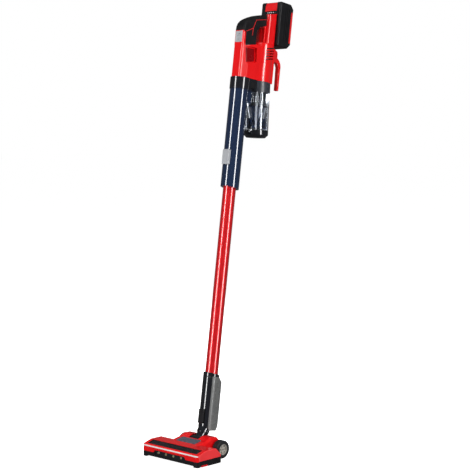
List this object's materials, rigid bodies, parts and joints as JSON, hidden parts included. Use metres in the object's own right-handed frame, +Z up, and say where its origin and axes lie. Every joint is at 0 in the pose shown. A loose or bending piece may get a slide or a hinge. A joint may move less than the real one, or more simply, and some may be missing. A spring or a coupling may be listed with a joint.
{
  "type": "cordless stick vacuum cleaner",
  "caption": "Red and black cordless stick vacuum cleaner with powered floor head, metal tube, clear dust bin and slide-on battery.",
  "frame": {"origin": "middle of the bounding box on the floor", "axes": "+X across the floor head, -Y its front, +Z up; the stick leans towards +Y"},
  "size_m": [0.208, 0.4524, 1.2193],
  "materials": {
    "red_gloss": "high gloss",
    "red_satin": "satin",
    "red_lacquer": "metallic lacquer",
    "navy_gloss": "high gloss",
    "black_plastic": "fine texture",
    "black_gloss": "polished",
    "black_rubber": "grained",
    "grey_plastic": "satin",
    "dark_grey_plastic": "satin",
    "clear_plastic": "clear",
    "smoked_window": "smoked",
    "lens": "frosted",
    "silver_trim": "brushed",
    "chrome": "polished",
    "steel": "machined",
    "tyre": "moulded",
    "bristle": "fibres",
    "filter_paper": "pleated",
    "cell_wrap": "shrink film",
    "bronze": "sintered"
  },
  "bodies": {
    "floor_head": {"head_cover": "red_gloss", "head_base": "black_plastic", "head_window": "smoked_window", "side_panels": "red_satin", "front_band": "red_gloss", "trim_strip": "silver_trim", "light_bar": "black_gloss", "light_lenses": "lens", "badge_plate": "grey_plastic", "brush_bushes": "bronze", "drive_belt": "black_rubber", "head_motor": "steel", "wheel_axles": "steel", "head_screws": "steel", "yoke_pins": "steel"},
    "brush_roll": {"brush_core": "dark_grey_plastic", "brush_bristles": "bristle"},
    "head_motor_rotor": {"motor_pinion": "steel"},
    "wheel_left": {"wheel_tyre_left": "tyre", "wheel_hub_left": "grey_plastic"},
    "wheel_right": {"wheel_tyre_right": "tyre", "wheel_hub_right": "grey_plastic"},
    "rollers": {"front_rollers": "black_plastic"},
    "roll_latch": {"roll_release_latch": "red_satin"},
    "neck_base": {"neck_yoke": "black_gloss", "swivel_ring": "black_gloss"},
    "neck": {"neck_elbow": "black_gloss", "neck_front_shell": "black_gloss", "neck_rear_shell": "grey_plastic", "neck_collar": "black_gloss"},
    "neck_key": {"neck_button": "black_plastic"},
    "wand": {"wand_tube": "red_lacquer"},
    "handheld": {"inlet_duct": "navy_gloss", "duct_collar": "black_gloss", "body_shell_left": "red_gloss", "body_shell_right": "red_gloss", "handle_grip": "black_rubber", "control_panel": "grey_plastic", "suction_motor": "steel", "motor_mount": "black_rubber", "battery_dock": "black_plastic", "hanging_hook": "red_gloss", "body_screws": "steel"},
    "tube_key": {"tube_button": "grey_plastic"},
    "power_button": {"power_key": "grey_plastic"},
    "mode_button": {"mode_key": "grey_plastic"},
    "fan": {"fan_wheel": "black_plastic"},
    "battery": {"battery_case": "black_plastic", "battery_lid": "black_plastic", "battery_bumpers": "red_satin", "battery_cells": "cell_wrap"},
    "battery_key": {"battery_button": "red_satin"},
    "bin": {"bin_wall": "clear_plastic", "bin_band": "dark_grey_plastic", "cyclone_cone": "navy_gloss", "mesh_filter": "dark_grey_plastic", "pleated_filter": "filter_paper", "flap_pin": "steel"},
    "bin_door": {"bin_flap": "black_gloss"},
    "bin_release": {"bin_latch": "black_plastic"}
  },
  "joints": [
    {"name": "brush_spin", "type": "hinge", "parent": "floor_head", "child": "brush_roll", "pos_m": [0, -0.1932, 0.019], "axis": [1, 0, 0], "continuous": true},
    {"name": "pinion_spin", "type": "hinge", "parent": "floor_head", "child": "head_motor_rotor", "pos_m": [-0.078, -0.1587, 0.025], "axis": [1, 0, 0], "continuous": true},
    {"name": "left_wheel_spin", "type": "hinge", "parent": "floor_head", "child": "wheel_left", "pos_m": [-0.065, -0.1002, 0.024], "axis": [1, 0, 0], "continuous": true},
    {"name": "right_wheel_spin", "type": "hinge", "parent": "floor_head", "child": "wheel_right", "pos_m": [0.065, -0.1002, 0.024], "axis": [1, 0, 0], "continuous": true},
    {"name": "roller_spin", "type": "hinge", "parent": "floor_head", "child": "rollers", "pos_m": [0, -0.1542, 0.0062], "axis": [1, 0, 0], "continuous": true},
    {"name": "roll_latch_slide", "type": "slide", "parent": "floor_head", "child": "roll_latch", "axis": [0, 1, 0], "range_m": [-0.006, 0], "stiffness_N_per_m": 120},
    {"name": "neck_pitch", "type": "hinge", "parent": "floor_head", "child": "neck_base", "pos_m": [0, -0.1212, 0.0374], "axis": [1, 0, 0], "range_deg": [-52, 8]},
    {"name": "neck_swivel", "type": "hinge", "parent": "neck_base", "child": "neck", "pos_m": [0, -0.09855, 0.06538], "axis": [0, 0.6293, 0.7771], "range_deg": [-45, 45]},
    {"name": "neck_button_press", "type": "slide", "parent": "neck", "child": "neck_key", "axis": [0, 0.9899, -0.1416], "range_m": [0, 0.0014], "stiffness_N_per_m": 600},
    {"name": "tube_lift", "type": "slide", "parent": "neck", "child": "wand", "axis": [0, 0.1416, 0.9899], "range_m": [0, 0.06]},
    {"name": "handheld_lift", "type": "slide", "parent": "wand", "child": "handheld", "axis": [0, 0.1416, 0.9899], "range_m": [0, 0.06]},
    {"name": "tube_button_press", "type": "slide", "parent": "handheld", "child": "tube_key", "axis": [0, 0.9899, -0.1416], "range_m": [0, 0.002], "stiffness_N_per_m": 600},
    {"name": "power_key_press", "type": "slide", "parent": "handheld", "child": "power_button", "axis": [0, 0.9899, -0.1416], "range_m": [0, 0.0008], "stiffness_N_per_m": 800},
    {"name": "mode_key_press", "type": "slide", "parent": "handheld", "child": "mode_button", "axis": [0, 0.9899, -0.1416], "range_m": [0, 0.0008], "stiffness_N_per_m": 800},
    {"name": "fan_spin", "type": "hinge", "parent": "handheld", "child": "fan", "pos_m": [0, 0.1231, 1.04128], "axis": [0, 0.1416, 0.9899], "continuous": true},
    {"name": "battery_slide", "type": "slide", "parent": "handheld", "child": "battery", "axis": [0, 0.1416, 0.9899], "range_m": [0, 0.085]},
    {"name": "battery_button_press", "type": "slide", "parent": "battery", "child": "battery_key", "axis": [0, 0.9899, -0.1416], "range_m": [0, 0.0012], "stiffness_N_per_m": 600},
    {"name": "bin_slide", "type": "slide", "parent": "handheld", "child": "bin", "axis": [0, -0.0617, -0.9981], "range_m": [0, 0.08]},
    {"name": "bin_flap_hinge", "type": "hinge", "parent": "bin", "child": "bin_door", "pos_m": [0, 0.07093, 0.86381], "axis": [1, 0, 0], "range_deg": [-75, 0]},
    {"name": "bin_latch_slide", "type": "slide", "parent": "handheld", "child": "bin_release", "axis": [0, 0.1416, 0.9899], "range_m": [-0.004, 0], "stiffness_N_per_m": 300}
  ],
  "couplings": [
    {"joint": "pinion_spin", "follows": "brush_spin", "ratio": 1.6667}
  ]
}
